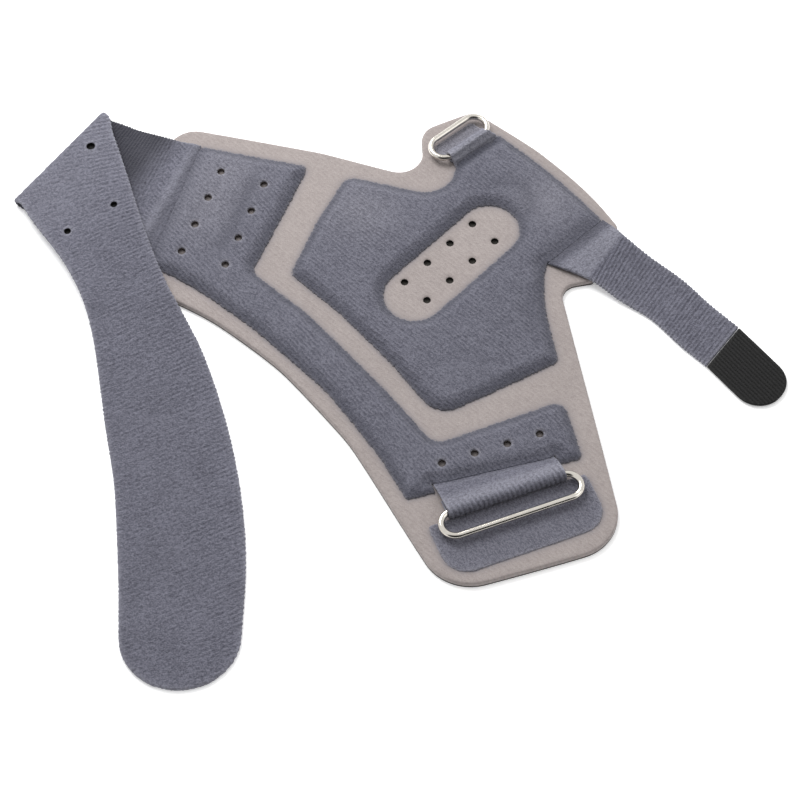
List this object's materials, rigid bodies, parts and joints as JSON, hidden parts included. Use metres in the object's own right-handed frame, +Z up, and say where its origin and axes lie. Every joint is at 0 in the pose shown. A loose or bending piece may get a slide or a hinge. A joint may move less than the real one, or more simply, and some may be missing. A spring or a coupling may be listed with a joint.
{
  "type": "thumb brace",
  "caption": "Flat open wrist and thumb brace of padded knit with a windowed palm panel, two looped metal slot rings, a hook-tipped thumb strap and a long folded wrist strap.",
  "frame": {"origin": "middle of the whole laid-out brace, on the surface that it lies on", "axes": "+X to the thumb strap's side, +Y from the large ring to the small one, +Z up, out of the brace's outer face"},
  "size_m": [0.2848, 0.2444, 0.0077],
  "materials": {
    "lining": "dark knit backing, matte",
    "beige_knit": "beige suede-like knit, matte, fine mottling",
    "grey_knit": "brushed grey loop knit with fine slanted ribs",
    "grey_strap": "brushed grey loop knit with cross ribs",
    "hook_tape": "black nylon hook tape in fine rows",
    "nickel": "polished nickel-plated wire"
  },
  "bodies": {
    "brace": {"lining": "lining", "base_pad": "beige_knit", "wrist_panel": "grey_knit", "palm_panel": "grey_knit", "end_patch": "grey_knit", "ring_patch": "grey_knit", "large_ring_loop": "grey_strap", "small_ring_loop": "grey_strap", "wrist_strap": "grey_strap", "thumb_strap": "grey_strap", "hook_tab": "hook_tape"},
    "large_ring": {"large_ring": "nickel"},
    "small_ring": {"small_ring": "nickel"}
  },
  "joints": [
    {"name": "large_ring_swing", "type": "hinge", "parent": "brace", "child": "large_ring", "pos_m": [0.04003, -0.04784, 0.00505], "axis": [-0.9336, -0.3584, 0], "range_deg": [0, 150]},
    {"name": "small_ring_swing", "type": "hinge", "parent": "brace", "child": "small_ring", "pos_m": [0.02843, 0.10475, 0.005], "axis": [0.766, 0.6428, 0], "range_deg": [0, 140]}
  ]
}
